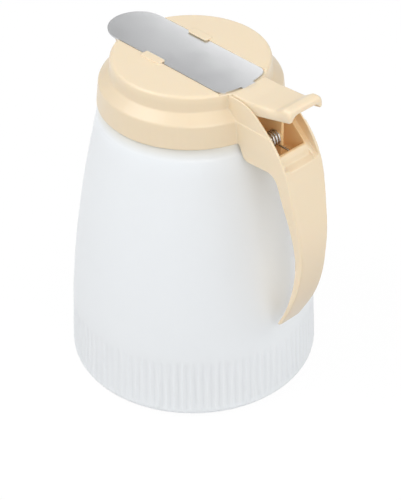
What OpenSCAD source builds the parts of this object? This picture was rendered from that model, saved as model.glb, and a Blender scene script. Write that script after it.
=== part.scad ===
// Syrup dispenser: a fluted plastic jar with a screw-on top, a handle moulded in one with the top,
// and a steel blade that slides back over the spout and springs shut, so the last drip is cut off.
// Frame: origin at the centre of the base on the jar's axis, +X to the handle, -X to the spout, +Z up.

/* [Jar] */
// Radius that the arc of the jar's side would have at its widest height
jar_wide_r = 63.45; // [60:0.05:70]
// Radius of the long arc that the side follows
jar_side_r = 640; // [560:5:800]
// How far under the table the arc is widest
jar_wide_drop = 10; // [6:0.5:14]
// Radius of the straight foot, which trims the arc near the base
jar_foot_r = 63.2; // [60:0.05:70]
// Rounding of the lower edge
jar_edge_r = 5.5; // [3:0.5:7]
// Height of the shoulder that carries the neck
jar_shoulder_z = 147; // [130:1:160]
// Bevel of the shoulder's outer edge
jar_shoulder_bevel = 1; // [0.5:0.1:1.5]
// Wall thickness of the body
jar_wall = 2; // [1.6:0.1:2.6]
// Thickness of the floor
jar_floor = 2.2; // [1.8:0.1:3]
// Depth of the hollow under the base
base_hollow = 1.5; // [1:0.1:2.5]
// Width of the flat ring that the jar stands on
foot_ring_w = 6.5; // [4:0.5:9]
// Step from the shoulder's edge in to the neck
neck_step = 4.6; // [4:0.1:6]
// Height of the neck above the shoulder
neck_h = 11.5; // [9:0.5:14]
// Wall thickness of the neck
neck_wall = 3; // [2.4:0.1:3.6]

/* [Flutes] */
// Number of upright flutes round the base
flute_n = 96; // [60:1:110]
// Width of a flute at its foot
flute_w = 2.8; // [2:0.1:3.4]
// Depth of a flute at its foot
flute_depth = 0.5; // [0.3:0.05:0.7]
// Depth at its upper end
flute_top_depth = 0.3; // [0.15:0.05:0.5]
// Height of the lower end
flute_low_z = 6; // [5.8:0.1:8]
// Height of the upper end
flute_top_z = 32.5; // [24:0.5:40]

/* [Seal] */
// Thickness of the flat sealing ring between the jar's rim and the top
seal_h = 1.5; // [1:0.1:2]
// How much narrower than the neck the ring is, at each edge
seal_inset = 0.5; // [0.3:0.1:0.8]

/* [Top] */
// Gap between the jar's shoulder and the collar's lower edge
collar_gap = 0.9; // [0.5:0.1:1.5]
// Room for the screw thread between neck and collar
thread_room = 2.7; // [2:0.1:3.2]
// Wall of the collar at its upper edge
collar_wall = 1.95; // [1.6:0.05:2.6]
// How much wider the collar is at its lower edge
collar_flare = 1.25; // [0.6:0.05:2]
// Rounding of the collar's upper edge
collar_edge_r = 2; // [1:0.1:3]
// Chamfer at the mouth of the collar's bore
collar_mouth = 0.7; // [0.4:0.1:1]
// How far the collar's upper edge lies under its ceiling
shoulder_drop = 0.3; // [0:0.1:0.6]
// Rise of the shoulder from the ceiling to the foot of the deck
shoulder_rise = 4.2; // [3.4:0.1:5]
// Step in from the collar's upper edge to the foot of the deck
deck_step = 5.25; // [4.6:0.05:6.5]
// How much narrower the deck is at its top
deck_taper = 0.6; // [0.2:0.1:1]
// Height of the deck's upright wall
deck_h = 8; // [6.5:0.5:10]
// Rounding of the deck's rim
deck_edge_r = 1.6; // [1:0.1:2.2]
// Wall thickness of the deck's side
deck_wall = 2.2; // [1.8:0.1:2.6]
// Thickness of the deck left under the blade
deck_floor = 1.8; // [1.4:0.1:2.2]
// Length of the two keeper tabs that hold the blade down
tab_l = 12.5; // [8:0.5:16]
// How far the middle of the tabs lies in front of the axis
tab_x = 9.6; // [4:0.2:14]
// How far a tab reaches in over the blade
tab_reach = 2.1; // [1.4:0.1:3]
// Width of a tab's root on the deck
tab_root = 2.6; // [2:0.1:4]
// Thickness of a tab over the blade
tab_h = 1.1; // [0.8:0.1:1.6]
// Rounding of a tab's corners in plan
tab_corner_r = 1; // [0.5:0.1:1.2]

/* [Spout] */
// Half width of the spout outside
spout_half_w = 9.5; // [7.5:0.1:10.5]
// Reach of the spout's lip beyond the deck
spout_out = 11.8; // [9:0.1:13]
// Wall of the spout
spout_wall = 1.6; // [1.3:0.1:2]
// Depth of the spout's root under the blade
spout_root_h = 8.6; // [6:0.1:9]
// Depth of the spout's lip under the blade
spout_lip_h = 2.6; // [2:0.1:3.5]

/* [Blade] */
// Half width of the steel blade
blade_half_w = 14.9; // [13:0.1:16]
// Thickness of the sheet
blade_t = 0.8; // [0.6:0.1:0.9]
// Reach of the rounded nose beyond the spout's lip
blade_out = 1.5; // [1:0.1:5]
// Rounding of the two rear corners
blade_corner_r = 5; // [3:0.5:7]
// Gap between the rear arc and the edge of the deck
blade_rear_gap = 0.7; // [0.4:0.1:1.2]
// Running gap round the blade in its channel
blade_gap = 0.2; // [0.15:0.05:0.3]
// Gap between the blade and the face that it seals
blade_seal_gap = 0.1; // [0.05:0.01:0.15]
// Half width of the tongue that lies on the thumb piece
tongue_half_w = 3.7; // [3:0.1:4.5]
// How far the tongue reaches over the thumb piece
tongue_l = 2; // [1.6:0.1:3]
// Depth of the tongue's turned-down hook
hook_drop = 2.8; // [2.4:0.1:4]

/* [Thumb piece] */
// Half width of the thumb piece
thumb_half_w = 10.5; // [9:0.1:10.6]
// Gap between the thumb piece's front edge and the deck
thumb_front_gap = 0.5; // [0.4:0.1:0.8]
// How far the thumb piece ends short of the handle's reach
thumb_short = 8; // [4:0.1:12]
// Rise of the thumb lip above the deck
thumb_rise = 5.6; // [4:0.1:6.5]
// Thickness of the plate
thumb_t = 2; // [1.6:0.1:2.4]
// Thickness of the side skirts
skirt_t = 1.5; // [1.2:0.1:1.8]
// Thickness of the cross rib that the spring pushes on
lug_t = 1.8; // [1.4:0.1:2.4]
// Gap between the cross rib and the pocket's rib as they pass
lug_gap = 2.8; // [1:0.1:4]

/* [Handle] */
// Reach of the handle out from the collar
handle_reach = 37.1; // [30:0.1:44]
// Drop over which the handle's outline is laid out, just past its tip
handle_drop = 123.6; // [100:0.2:125]
// Half width of the handle's box, lower part
box_half_w = 12.1; // [11.8:0.1:13]
// Step in of the box above the crease
crease_step = 0.4; // [0.2:0.05:0.6]
// How far the box's walls end below the deck
box_top_drop = 1.1; // [0.9:0.05:1.6]
// Half width of the handle's grip
grip_half_w = 8.4; // [7:0.1:9]
// Half width near the tip
tip_half_w = 6.2; // [5:0.1:7]
// Wall left beside and behind the hollow of the grip
grip_wall = 2.1; // [1.8:0.1:2.4]
// Half width of the spring pocket
pocket_half_w = 8.3; // [7.8:0.1:8.8]
// Side gap of the thumb piece between the box's walls
side_gap = 0.3; // [0.2:0.05:0.4]
// Depth of the ledge that the thumb piece rides on, below the deck
ledge_drop = 5.4; // [5:0.1:6]
// Thickness of the rib that stands in the pocket
rib_t = 1.6; // [1.2:0.1:2]
// Place of the rib's near face beside the middle
rib_y = 0.6; // [0.2:0.1:1]

/* [Spring] */
// Diameter of the wire
wire_d = 1.1; // [0.9:0.05:1.3]
// Mean radius of the coil
coil_r = 3.6; // [3.2:0.1:4]
// Gap between the turns
coil_gap = 0.6; // [0.45:0.05:0.8]
// Whole turns of the coil
coil_turns = 4; // [3:1:4]
// Gap between the boss and the inside of the coil
boss_gap = 0.45; // [0.3:0.05:0.6]
// Slant of the pushing leg at rest, degrees from upright
leg_slant = 27; // [20:1:32]
// Gap between the spring and what it rests on
spring_gap = 0.3; // [0.2:0.05:0.35]

/* [Motion] */
// Travel of the blade and thumb piece, which sets how much of the spout's top is open
travel = 15; // [12:0.5:15]

/* [Hidden] */
cream = "#f0deb4";
milk = "#f4f6f8";
steel = "#c4c6c8";
// Overrun of every cut
over = 1;
// Longest chord and widest turn of one facet of a rounded outline
chord = 3;
turn_step = 10;
fine = 180;
// Largest reach of a cutting block, past every piece
far = 4 * jar_wide_r;

// Radius of the jar's side at height z
function side_r(z) = jar_wide_r - jar_side_r + sqrt(pow(jar_side_r, 2) - pow(z + jar_wide_drop, 2));

shoulder_r = side_r(jar_shoulder_z);
neck_r = shoulder_r - neck_step;
mouth_r = neck_r - neck_wall;
rim_z = jar_shoulder_z + neck_h;
ceiling_z = rim_z + seal_h;
collar_z = jar_shoulder_z + collar_gap;
collar_bore_r = neck_r + thread_room;
collar_top_r = collar_bore_r + collar_wall;
collar_r = collar_top_r + collar_flare;
collar_top_z = ceiling_z - shoulder_drop;
deck_foot_r = collar_top_r - deck_step;
deck_foot_z = ceiling_z + shoulder_rise;
deck_z = deck_foot_z + deck_h;
deck_r = deck_foot_r - deck_taper;
spout_reach = deck_r + spout_out;
// Blade in its channel
blade_reach = spout_reach + blade_out;
channel_half_w = blade_half_w + blade_gap;
blade_top_z = deck_z - blade_seal_gap;
blade_z = blade_top_z - blade_t;
channel_z = blade_z - blade_seal_gap;
blade_rear_r = deck_r - blade_rear_gap;
// Inner end of the pouring hole, which the blade's nose just clears at the end of its travel
hole_x = blade_reach - travel;
// Inner end of the spout's channel, inside the deck's wall
spout_root_x = deck_r - 3 * deck_wall;
// Thumb piece behind the deck
thumb_x = deck_r + thumb_front_gap;
thumb_l = collar_r + handle_reach - thumb_short - thumb_x;
ledge_z = deck_z - ledge_drop;
skirt_z = ledge_z + blade_gap;
lip_z = deck_z + thumb_rise;
thumb_under_z = deck_z - thumb_t;
hook_t = blade_t;
tongue_x = thumb_x + tongue_l;
// Handle
box_top_z = deck_z - box_top_drop;
rebate_half_w = thumb_half_w + side_gap;
crease_z = collar_top_z;
// Coil's axis in the pocket, as shares of the handle's reach and drop
coil_x = collar_r + 0.3 * handle_reach;
coil_z = deck_z - 0.158 * handle_drop;
boss_r = coil_r - wire_d / 2 - boss_gap;
coil_pitch = wire_d + coil_gap;
rib_top_z = skirt_z - lug_gap;

// Unit vector
function unit(v) = v / norm(v);
// Point of the handle's outline from a share of its reach and of its drop
function on_handle(reach_share, drop_share) =
    [collar_r + reach_share * handle_reach, deck_z - drop_share * handle_drop];
// Same, rounded over a share of its shorter side
function bend(reach_share, drop_share, run_share) =
    concat(on_handle(reach_share, drop_share), [0, run_share]);
// Radius of the arc that rounds corner c and starts a share of its shorter side away
function eased_r(p, c, n, run_share) =
    run_share * min(norm(p - c), norm(n - c)) * tan(acos(unit(p - c) * unit(n - c)) / 2);
// Arc that rounds corner c between its neighbours p and n
function corner_arc(p, c, n, r) = let (
    a = unit(p - c),
    b = unit(n - c),
    half = acos(a * b) / 2,
    mid = c + unit(a + b) * (r / sin(half)),
    from = c + a * (r / tan(half)) - mid,
    to = c + b * (r / tan(half)) - mid,
    start = atan2(from.y, from.x),
    sweep = atan2(cross(from, to), from * to),
    steps = max(2, ceil(abs(sweep) / turn_step), ceil(abs(sweep) * PI / 180 * r / chord))
) [for (i = [0:steps]) mid + r * [cos(start + sweep * i / steps), sin(start + sweep * i / steps)]];
// Closed outline through corners given as [x, y], [x, y, radius] or [x, y, 0, run share]
function rounded(corners) = let (n = len(corners), at = [for (c = corners) [c.x, c.y]]) [
    for (i = [0:n - 1]) let (
        c = corners[i],
        p = at[(i + n - 1) % n],
        q = at[(i + 1) % n]
    ) each len(c) == 2 ? [c] : corner_arc(p, at[i], q, len(c) == 3 ? c[2] : eased_r(p, at[i], q, c[3]))
];

// Side outline in X and Z, drawn out along Y to both sides of the middle
module across(half_w) {
    rotate([90, 0, 0]) linear_extrude(2 * half_w, center = true) children();
}

// Disc whose edge is the jar's side arc, moved in by a wall
module side_disc(wall) {
    translate([jar_wide_r - jar_side_r, -jar_wide_drop]) circle(jar_side_r - wall, $fn = 4 * fine);
}

// The arc is trimmed to a straight cone over the fluted band
module jar_outside() {
    bevel_low_z = jar_shoulder_z - jar_shoulder_bevel - (jar_foot_r - shoulder_r);
    intersection() {
        side_disc(0);
        polygon(rounded([[0, 0], [jar_foot_r, 0, jar_edge_r],
            [jar_foot_r, flute_low_z], [side_r(flute_top_z + jar_edge_r), flute_top_z + jar_edge_r],
            [jar_foot_r, flute_top_z + jar_edge_r], [jar_foot_r, bevel_low_z],
            [shoulder_r - jar_shoulder_bevel, jar_shoulder_z], [0, jar_shoulder_z]]));
    }
    square([neck_r, rim_z]);
}

module jar_inside() {
    floor_z = base_hollow + jar_floor;
    inside_r = jar_foot_r - jar_wall;
    root_z = jar_shoulder_z + jar_wall / 2;
    intersection() {
        side_disc(jar_wall);
        polygon(rounded([[0, floor_z], [inside_r, floor_z, jar_edge_r - jar_wall],
            [inside_r, root_z - (inside_r - mouth_r)], [mouth_r, root_z], [0, root_z]]));
    }
    translate([0, jar_shoulder_z]) square([mouth_r, neck_h + over]);
}

module base_hollow_cut() {
    flat_r = jar_foot_r - jar_edge_r - foot_ring_w;
    polygon([[0, -over], [flat_r + over, -over], [flat_r - base_hollow, base_hollow], [0, base_hollow]]);
}

// Upright flutes of V section, which grow shallower towards the top
module flutes() {
    run = flute_top_z - flute_low_z;
    lean = atan2(side_r(flute_low_z) - side_r(flute_top_z) + flute_top_depth - flute_depth, run);
    for (i = [0:flute_n - 1])
        rotate(i * 360 / flute_n)
            translate([side_r(flute_low_z) - flute_depth, 0, flute_low_z])
                rotate([0, -lean, 0])
                    linear_extrude(run / cos(lean))
                        polygon([[0, 0], [2 * flute_depth, -flute_w], [2 * flute_depth, flute_w]]);
}

module jar() {
    color(milk) difference() {
        rotate_extrude($fn = fine) difference() {
            jar_outside();
            jar_inside();
            base_hollow_cut();
        }
        flutes();
    }
}

module seal_ring() {
    color("#d9d4c8") translate([0, 0, rim_z]) difference() {
        cylinder(h = seal_h, r = neck_r + seal_inset, $fn = fine);
        translate([0, 0, -over]) cylinder(h = seal_h + 2 * over, r = mouth_r + seal_inset, $fn = fine);
    }
}

// Wall of the collar, its shoulder and the deck, revolved
module collar_and_deck() {
    plate_z = channel_z - deck_floor;
    rotate_extrude($fn = fine) polygon(rounded([
        [0, plate_z], [deck_r - deck_wall, plate_z], [deck_r - deck_wall, ceiling_z],
        [collar_bore_r, ceiling_z], [collar_bore_r, collar_z + collar_mouth],
        [collar_bore_r + collar_mouth, collar_z], [collar_r, collar_z, collar_mouth],
        [collar_top_r, collar_top_z, collar_edge_r],
        [deck_foot_r, deck_foot_z, collar_edge_r / 2], [deck_r, deck_z, deck_edge_r], [0, deck_z]
    ]));
}

// Space inside the collar and deck that the handle's root must stay out of
module root_core() {
    wall_mid = collar_bore_r + collar_wall / 2;
    deck_mid = deck_r - deck_wall / 2;
    rotate_extrude($fn = fine) polygon([[0, 0], [wall_mid, 0], [wall_mid, collar_top_z - collar_wall],
        [deck_mid, deck_foot_z - collar_wall / 2], [deck_mid, deck_z], [0, deck_z]]);
}

// Handle seen from the side: back curve, tip, inner curve, underside of the box
handle_outline = rounded([
    [deck_r - deck_wall / 2, box_top_z], [collar_r + 0.13 * handle_reach, box_top_z, 0, 0.571],
    bend(0.756, 0.172, 0.506), bend(1.128, 0.685, 0.733),
    bend(0.617, 0.977, 0.508), bend(0.544, 0.984, 0.428),
    bend(1.061, 0.689, 0.836), bend(0.582, 0.248, 0.275), bend(0.062, 0.258, 0.34),
    [collar_r - collar_wall / 2, collar_z], [deck_r - deck_wall / 2, collar_z]
]);

// Half width of the handle seen from behind, from the box down to the tip
function half_front(inset) = [
    [box_half_w - crease_step - inset, deck_z + over],
    [box_half_w - crease_step - inset, crease_z],
    [box_half_w - inset, crease_z - crease_step],
    [box_half_w - inset, deck_z - 0.175 * handle_drop],
    [0.93 * box_half_w - inset, deck_z - 0.355 * handle_drop, 0.4 * handle_drop],
    [grip_half_w - inset, deck_z - 0.62 * handle_drop, 0.3 * handle_drop],
    [grip_half_w - inset, deck_z - 0.84 * handle_drop, 0.3 * handle_drop],
    [tip_half_w - inset, deck_z - 1.03 * handle_drop]
];
function mirrored(points) = [for (i = [len(points) - 1:-1:0]) let (p = points[i])
    len(p) == 2 ? [-p.x, p.y] : [-p.x, p.y, p[2]]];

module from_behind(inset) {
    rotate([90, 0, 90]) linear_extrude(far) polygon(rounded(concat(half_front(inset), mirrored(half_front(inset)))));
}

// Pocket that holds the spring, open to the rear above the cross wall
pocket_outline = rounded([
    [deck_r, deck_z + over], [deck_r, collar_z + collar_mouth], on_handle(0.05, 0.182),
    bend(0.11, 0.236, 0.21), bend(0.545, 0.231, 0.31), on_handle(0.545, 0.181),
    on_handle(0.588, 0.181), on_handle(0.625, 0.196), bend(0.652, 0.215, 0.2),
    on_handle(0.79, 0.223), [far, deck_z - 0.223 * handle_drop], [far, deck_z + over]
]);
// Wider rebate above it, whose ledge the thumb piece rides on
rebate_outline = rounded([
    [deck_r, deck_z + over], [deck_r, ledge_z],
    [collar_r + 0.062 * handle_reach, ledge_z, 0, 0.5], bend(0.695, 0.211, 0.085),
    on_handle(0.83, 0.223), [far, deck_z - 0.223 * handle_drop], [far, deck_z + over]
]);

// Hollow in the inner side of the grip, which leaves an even wall
module grip_hollow() {
    intersection() {
        across(far) polygon(rounded([
            [0, deck_z - 0.32 * handle_drop], on_handle(0.71 - grip_wall / handle_reach / 2, 0.32),
            bend(1.12, 0.655, 0.93), on_handle(0.73, 0.88), [0, deck_z - 0.88 * handle_drop]
        ]));
        from_behind(grip_wall);
    }
}

module handle() {
    difference() {
        intersection() {
            across(far) polygon(handle_outline);
            from_behind(0);
        }
        across(pocket_half_w) polygon(pocket_outline);
        across(rebate_half_w) polygon(rebate_outline);
        grip_hollow();
        root_core();
    }
}

// Rib in the pocket with the boss that carries the coil
module spring_seat() {
    boss_l = (coil_turns + 1) * coil_pitch - coil_gap;
    rib_drop = 0.24 * handle_drop;
    difference() {
        intersection() {
            translate([0, rib_y, deck_z - rib_drop]) cube([coil_x + boss_r, rib_t, rib_top_z - deck_z + rib_drop]);
            across(far) polygon(handle_outline);
        }
        root_core();
    }
    translate([coil_x, rib_y + rib_t / 2, coil_z])
        rotate([90, 0, 0]) cylinder(h = boss_l + rib_t / 2, r = boss_r, $fn = 48);
}

// Keeper tab on the deck, reaching in over one edge of the blade
module keeper_tab() {
    tab_z = blade_top_z + blade_gap;
    root_z = deck_z - deck_edge_r;
    near_x = tab_l / 2 - tab_x;
    far_x = -tab_l / 2 - tab_x;
    low_y = channel_half_w - tab_reach;
    high_y = channel_half_w + tab_root;
    translate([0, 0, tab_z]) linear_extrude(tab_h) polygon(rounded([
        [near_x, low_y, tab_corner_r], [near_x, high_y, tab_corner_r],
        [far_x, high_y, tab_corner_r], [far_x, low_y, tab_corner_r]
    ]));
    translate([0, 0, root_z]) linear_extrude(tab_z + tab_h - root_z) polygon(rounded([
        [near_x, channel_half_w], [near_x, high_y, tab_corner_r],
        [far_x, high_y, tab_corner_r], [far_x, channel_half_w]
    ]));
}

// Plan of the spout, a slot shape with a round front
module spout_plan(wall) {
    half = spout_half_w - wall;
    translate([spout_half_w - spout_reach, 0]) circle(half, $fn = 96);
    translate([spout_half_w - spout_reach, -half]) square([spout_reach - spout_half_w - spout_root_x, 2 * half]);
}

module spout_outside() {
    root_x = deck_wall - deck_r;
    intersection() {
        translate([0, 0, channel_z - spout_root_h - over]) linear_extrude(spout_root_h + over) spout_plan(0);
        across(far) polygon([[root_x, channel_z], [-spout_reach - over, channel_z],
            [-spout_reach - over, channel_z - spout_lip_h], [-spout_reach + spout_wall, channel_z - spout_lip_h],
            [-deck_foot_r, channel_z - spout_root_h], [root_x, channel_z - spout_root_h]]);
    }
}

module spout_inside() {
    lip_x = spout_wall - spout_reach;
    intersection() {
        translate([0, 0, channel_z - spout_root_h - over]) linear_extrude(spout_root_h + 2 * over) spout_plan(spout_wall);
        across(far) polygon([[-hole_x, channel_z + over], [lip_x - over, channel_z + over],
            [lip_x - over, channel_z - spout_lip_h + spout_wall], [lip_x, channel_z - spout_lip_h + spout_wall],
            [-deck_foot_r, channel_z - spout_root_h + spout_wall],
            [-spout_root_x, channel_z - spout_root_h + spout_wall],
            [-spout_root_x, channel_z - deck_floor], [-hole_x, channel_z - deck_floor]]);
    }
}

module screw_top() {
    color(cream) {
        difference() {
            union() {
                collar_and_deck();
                handle();
                spring_seat();
                difference() {
                    spout_outside();
                    translate([0, 0, ceiling_z]) cylinder(h = channel_z - ceiling_z, r = deck_r - deck_wall, $fn = fine);
                }
            }
            translate([-far / 2, -channel_half_w, channel_z]) cube([far / 2 + thumb_x, 2 * channel_half_w, deck_h]);
            spout_inside();
        }
        keeper_tab();
        mirror([0, 1, 0]) keeper_tab();
    }
}

// Plan of the blade. Its rear corners touch the rear arc from inside
module blade_plan() {
    nose_x = blade_half_w - blade_reach;
    straight_w = blade_half_w - blade_corner_r;
    corner_a = asin(straight_w / (blade_rear_r - blade_corner_r));
    corner_x = straight_w / tan(corner_a);
    translate([nose_x, 0]) circle(blade_half_w, $fn = 144);
    translate([nose_x, -blade_half_w]) square([corner_x - nose_x, 2 * blade_half_w]);
    for (s = [-1, 1]) translate([corner_x, s * straight_w]) circle(blade_corner_r, $fn = 48);
    intersection() {
        circle(blade_rear_r, $fn = fine);
        polygon([[0, 0], [far, -far * tan(corner_a)], [far, far * tan(corner_a)]]);
    }
    translate([0, -tongue_half_w]) square([tongue_x, 2 * tongue_half_w]);
}

module cutoff_blade() {
    hook_half_w = tongue_half_w - blade_t;
    color(steel) {
        translate([0, 0, blade_z]) linear_extrude(blade_t) blade_plan();
        translate([tongue_x - hook_t, -hook_half_w, blade_z - hook_drop]) cube([hook_t, 2 * hook_half_w, hook_drop + blade_t]);
    }
}

// Thumb piece seen from the side
module thumb_side() {
    rear_x = thumb_x + thumb_l;
    polygon(rounded([
        [thumb_x, deck_z, thumb_t / 4], [thumb_x + 0.28 * thumb_l, deck_z, thumb_l],
        [thumb_x + 0.73 * thumb_l, deck_z + 0.4 * thumb_rise, 2 * thumb_t],
        [thumb_x + 0.87 * thumb_l, lip_z, 1.2 * thumb_t], [rear_x, lip_z, 1.4 * thumb_t],
        [rear_x, deck_z, thumb_t / 4],
        [thumb_x + 0.42 * thumb_l, skirt_z, thumb_l / 4], [thumb_x, skirt_z, thumb_t / 2]
    ]));
}

// Space under the plate and between the skirts
module thumb_hollow() {
    half = thumb_half_w - skirt_t;
    arch_z = lip_z - 1.5 * thumb_t;
    intersection() {
        across(half) polygon([
            [0, 0], [far, 0], [far, arch_z], [thumb_x + 0.87 * thumb_l, arch_z],
            [thumb_x + 0.73 * thumb_l, thumb_under_z + 0.4 * thumb_rise],
            [thumb_x + 0.4 * thumb_l, thumb_under_z], [0, thumb_under_z]
        ]);
        rotate([90, 0, 90]) linear_extrude(far) polygon(rounded([
            [-half, 0], [half, 0], [half, arch_z, 2 * thumb_t], [-half, arch_z, 2 * thumb_t]
        ]));
    }
}

module thumb_slide() {
    slot_half_w = tongue_half_w - blade_t + blade_seal_gap;
    color(cream) difference() {
        union() {
            difference() {
                across(thumb_half_w) thumb_side();
                thumb_hollow();
            }
            translate([lug_rear_x - lug_t, -pocket_half_w, skirt_z]) cube([lug_t, 2 * pocket_half_w, deck_z - skirt_z - thumb_t / 2]);
        }
        translate([0, -tongue_half_w - blade_gap, channel_z]) cube([tongue_x + blade_gap, 2 * (tongue_half_w + blade_gap), deck_h]);
        translate([tongue_x - hook_t - blade_seal_gap, -slot_half_w, 0]) cube([hook_t + 2 * blade_seal_gap, 2 * slot_half_w, far]);
    }
}

// Centre line of the spring's wire: fixed leg, coil, pushing leg
fixed_end_x = collar_r + 0.545 * handle_reach - spring_gap;
coil_start_y = rib_y - spring_gap - wire_d / 2;
coil_sweep = 360 * coil_turns + 90 - leg_slant;
leg_end_z = deck_z - thumb_t - wire_d;
function coil_point(a) = [coil_x - coil_r * sin(a), coil_start_y - coil_pitch * a / 360, coil_z - coil_r * cos(a)];
leg_start = coil_point(coil_sweep);
leg_rise = leg_end_z - leg_start.z;
leg_end = leg_start + leg_rise * [-tan(leg_slant), 0, 1];
// Rear face of the thumb piece's cross rib, just in front of the leg
lug_rear_x = leg_end.x - wire_d / 2 / cos(leg_slant) - spring_gap;
coil_rings = 8 * coil_turns + 2;
fixed_leg_z = coil_z - coil_r;
wire_path = concat(
    [for (t = [0, 0.5]) [fixed_end_x + t * (coil_x - fixed_end_x), coil_start_y, fixed_leg_z]],
    [for (i = [0:coil_rings]) coil_point(coil_sweep * i / coil_rings)],
    [for (t = [0.5, 1]) leg_start + t * (leg_end - leg_start)]
);

// Tube of six sides swept along a path, one closed polyhedron
module tube(path, r, sides) {
    n = len(path);
    dirs = [for (i = [0:n - 1]) unit(path[min(i + 1, n - 1)] - path[max(i - 1, 0)])];
    side_axis = [0, 1, 0];
    points = [for (i = [0:n - 1]) let (u = unit(cross(dirs[i], side_axis)), v = cross(u, dirs[i]))
        for (j = [0:sides - 1]) path[i] + r * (cos(360 * j / sides) * u + sin(360 * j / sides) * v)];
    faces = concat(
        [[for (j = [0:sides - 1]) j]],
        [for (i = [0:n - 2], j = [0:sides - 1]) let (k = (j + 1) % sides)
            each [[i * sides + j, (i + 1) * sides + j, (i + 1) * sides + k], [i * sides + j, (i + 1) * sides + k, i * sides + k]]],
        [[for (j = [sides - 1:-1:0]) (n - 1) * sides + j]]
    );
    polyhedron(points, faces, convexity = 8);
}

module return_spring() {
    color(steel) tube(wire_path, wire_d / 2, 6);
}

// Least gap between wire stretches that are more than half a turn apart along the wire
path_gaps = [for (i = [0:len(wire_path) - 1], j = [0:len(wire_path) - 1])
    if (j > i + 4) norm(wire_path[i] - wire_path[j]) - wire_d];
echo(least_wire_gap = min(path_gaps));

jar();
seal_ring();
screw_top();
cutoff_blade();
thumb_slide();
return_spring();
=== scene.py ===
"""Looks of a syrup dispenser with a sliding cut-off blade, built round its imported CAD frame.

Every shape is in the frame's own axes: the origin is the centre of the base on the jar's axis,
+X points to the handle, -X to the spout and +Z up. Shapes are worked out in millimetres and
written to the meshes in metres.
"""

from __future__ import annotations

import logging
import math
from dataclasses import dataclass
from enum import Enum
from typing import Sequence

import bmesh
import bpy
import numpy as np
from mathutils import Matrix, Vector
from numpy.typing import NDArray

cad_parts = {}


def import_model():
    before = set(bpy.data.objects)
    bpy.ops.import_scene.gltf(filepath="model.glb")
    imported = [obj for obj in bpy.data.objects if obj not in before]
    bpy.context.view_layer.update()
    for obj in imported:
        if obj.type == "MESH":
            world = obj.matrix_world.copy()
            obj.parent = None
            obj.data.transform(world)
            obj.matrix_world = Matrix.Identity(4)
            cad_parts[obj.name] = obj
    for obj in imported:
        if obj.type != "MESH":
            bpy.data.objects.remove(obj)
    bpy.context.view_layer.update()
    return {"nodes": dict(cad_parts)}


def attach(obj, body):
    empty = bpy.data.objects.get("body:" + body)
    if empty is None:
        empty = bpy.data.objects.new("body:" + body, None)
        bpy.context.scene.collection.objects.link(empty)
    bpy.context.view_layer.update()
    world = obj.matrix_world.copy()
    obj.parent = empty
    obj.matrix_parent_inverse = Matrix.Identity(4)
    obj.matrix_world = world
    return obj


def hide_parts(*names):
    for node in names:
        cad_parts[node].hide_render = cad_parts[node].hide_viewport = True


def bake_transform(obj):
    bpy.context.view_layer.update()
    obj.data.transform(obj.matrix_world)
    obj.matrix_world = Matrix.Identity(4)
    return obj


LOG = logging.getLogger("dispenser")
MM = 0.001
BLACK = (0.0, 0.0, 0.0, 1.0)
WHITE = (1.0, 1.0, 1.0, 1.0)
ORIGIN = (0.0, 0.0, 0.0)

Floats = NDArray[np.float64]
Ints = NDArray[np.int64]
Colour = tuple[float, float, float]
Corner = tuple[float, float, float]
Span = tuple[float, float]
Piece = bpy.types.Object
Mesh = bpy.types.Mesh
Node = bpy.types.Node
Tree = bpy.types.NodeTree
Socket = bpy.types.NodeSocket


class Body(Enum):
    """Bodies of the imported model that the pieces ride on."""

    BASE = "base"
    SEAL = "seal"
    TOP = "top"
    SLIDE = "slide"


class Slot(Enum):
    """Material slots of the record."""

    JAR = "jar_plastic"
    CREAM = "cream_plastic"
    SEAL = "seal_rubber"
    BLADE = "blade_steel"
    SPRING = "spring_steel"


# Surfaces as arrays


def smoothstep(values: Floats, low: float, high: float) -> Floats:
    """Rises from 0 at low to 1 at high along 3t^2 - 2t^3.

    Args:
        values: Where to work it out.
        low: Value at which the rise starts.
        high: Value at which the rise ends.

    Returns:
        The share of the rise at each value.
    """
    share = np.clip((values - low) / (high - low), 0.0, 1.0)
    return share * share * (3.0 - 2.0 * share)


def unit(rows: Floats) -> Floats:
    """Each row divided by its length."""
    return rows / np.linalg.norm(rows, axis=-1, keepdims=True)


def full_turn(count: int) -> Floats:
    """Angles that share out a full turn evenly, from 0."""
    return np.linspace(0.0, 2 * np.pi, count, endpoint=False)


def round_corners(corners: Sequence[Corner], steps: int = 6, closed: bool = False) -> Floats:
    """Polyline through corners, each cut by an arc that touches both of its sides.

    The arc's centre lies on the bisector of the corner at radius / sin(half angle), and the arc
    is the normalised blend between the two touching points seen from that centre.

    Args:
        corners: Points with the radius of their arc, 0 for a sharp corner.
        steps: Segments of each arc.
        closed: Whether the last corner joins the first.

    Returns:
        Points of the rounded line, one row each.
    """
    spots = np.array([corner[:2] for corner in corners])
    count = len(corners)
    found: list[Floats] = []
    for index, (_, _, radius) in enumerate(corners):
        spot = spots[index]
        if radius <= 0 or (not closed and index in (0, count - 1)):
            found.append(spot[None])
            continue
        back, ahead = unit(spots[index - 1] - spot), unit(spots[(index + 1) % count] - spot)
        half = math.acos(float(np.clip(back @ ahead, -1.0, 1.0))) / 2
        middle = spot + unit(back + ahead) * radius / math.sin(half)
        first, last = (spot + side * radius / math.tan(half) - middle for side in (back, ahead))
        turn = math.pi - 2 * half
        share = np.linspace(0.0, 1.0, steps + 1)[:, None]
        arc = (np.sin((1 - share) * turn) * first + np.sin(share * turn) * last) / math.sin(turn)
        found.append(middle + arc)
    return np.concatenate(found)


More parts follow.
